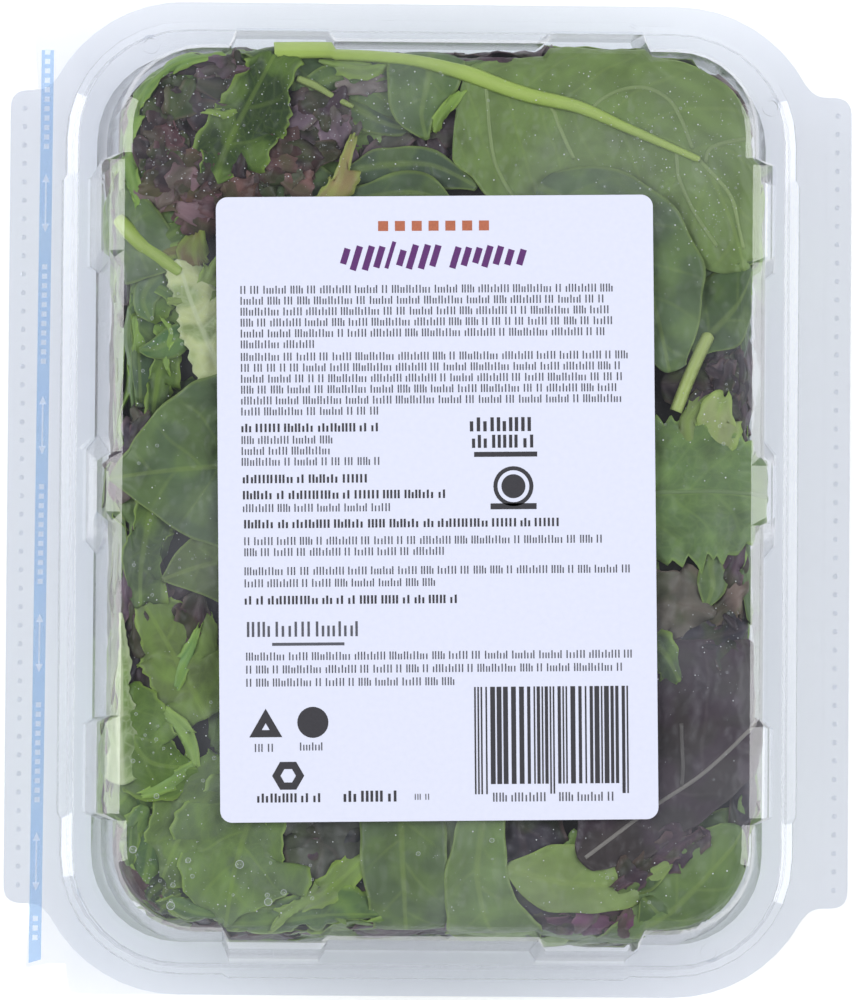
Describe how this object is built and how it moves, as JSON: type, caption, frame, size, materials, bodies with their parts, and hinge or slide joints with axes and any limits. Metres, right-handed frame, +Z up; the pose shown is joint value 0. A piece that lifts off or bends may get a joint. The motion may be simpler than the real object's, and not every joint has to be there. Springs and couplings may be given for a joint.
{
  "type": "clamshell of salad greens",
  "caption": "Shut, sealed clear plastic clamshell full of mixed salad leaves, lying on its lid with the label on its base facing up.",
  "frame": {"origin": "on the table, under the middle of the pack as it lies on its lid", "axes": "+X towards the hinge side, +Y along the pack towards the top of the picture, +Z up to the labelled base of the tub"},
  "size_m": [0.178, 0.2096, 0.081],
  "materials": {
    "clear_sheet": "glossy",
    "leaves": "satin",
    "label": "satin",
    "strip_film": "glossy"
  },
  "bodies": {
    "root": {"tub": "clear_sheet", "lid": "clear_sheet", "salad": "leaves", "base_label": "label", "seal_strip": "strip_film"}
  },
  "joints": []
}
